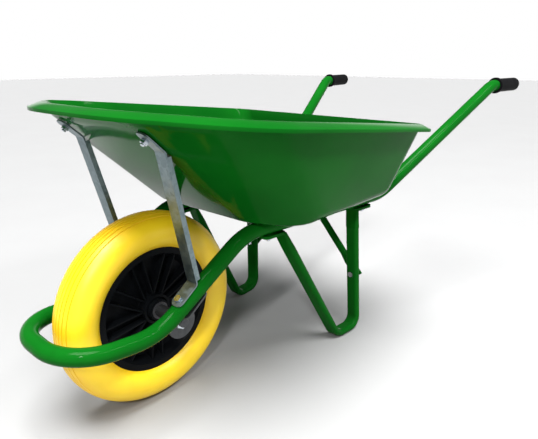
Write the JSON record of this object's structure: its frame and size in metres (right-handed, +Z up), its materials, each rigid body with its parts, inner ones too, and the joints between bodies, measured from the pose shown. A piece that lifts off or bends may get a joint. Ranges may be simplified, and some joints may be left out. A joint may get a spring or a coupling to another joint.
{
  "type": "wheelbarrow",
  "caption": "Builder's wheelbarrow: pressed steel tray on a bent tube frame that loops in front of a solid tyre, with two legs, a cross brace, two front braces and sleeved handles",
  "frame": {"origin": "middle of the outer box, on the ground", "axes": "+X towards the handles and -X towards the wheel, -Y the side of the left leg, +Z up"},
  "size_m": [1.4373, 0.672, 0.6352],
  "materials": {
    "green_paint": "glossy green stove enamel",
    "grip_rubber": "satin black moulded grip",
    "galvanised": "galvanised, faintly spangled",
    "dark_steel": "dark oiled steel",
    "black_plastic": "black moulded plastic",
    "yellow_tyre": "satin yellow foamed polyurethane",
    "bush_plastic": "dark grey nylon",
    "zinc": "bright zinc plate"
  },
  "bodies": {
    "barrow": {"tray": "green_paint", "frame_tube": "green_paint", "left_leg": "green_paint", "right_leg": "green_paint", "cross_brace": "green_paint", "left_grip": "grip_rubber", "right_grip": "grip_rubber", "left_brace": "galvanised", "right_brace": "galvanised", "left_axle_bracket": "dark_steel", "right_axle_bracket": "dark_steel", "axle": "dark_steel", "axle_spacers": "dark_steel", "axle_washers": "zinc", "axle_nuts": "zinc", "tray_washers": "zinc", "brace_top_bolts": "zinc", "brace_top_nuts": "zinc", "brace_bottom_bolts": "zinc", "brace_bottom_nuts": "zinc", "leg_front_bolts": "zinc", "leg_front_nuts": "zinc", "leg_rear_bolts": "zinc", "leg_rear_nuts": "zinc", "cross_brace_bolts": "zinc", "cross_brace_nuts": "zinc"},
    "wheel": {"tyre": "yellow_tyre", "wheel_rim": "black_plastic", "left_bush": "bush_plastic", "right_bush": "bush_plastic"}
  },
  "joints": [
    {"name": "wheel_spin", "type": "hinge", "parent": "barrow", "child": "wheel", "pos_m": [-0.47115, 0, 0.2], "axis": [0, 1, 0], "continuous": true}
  ]
}
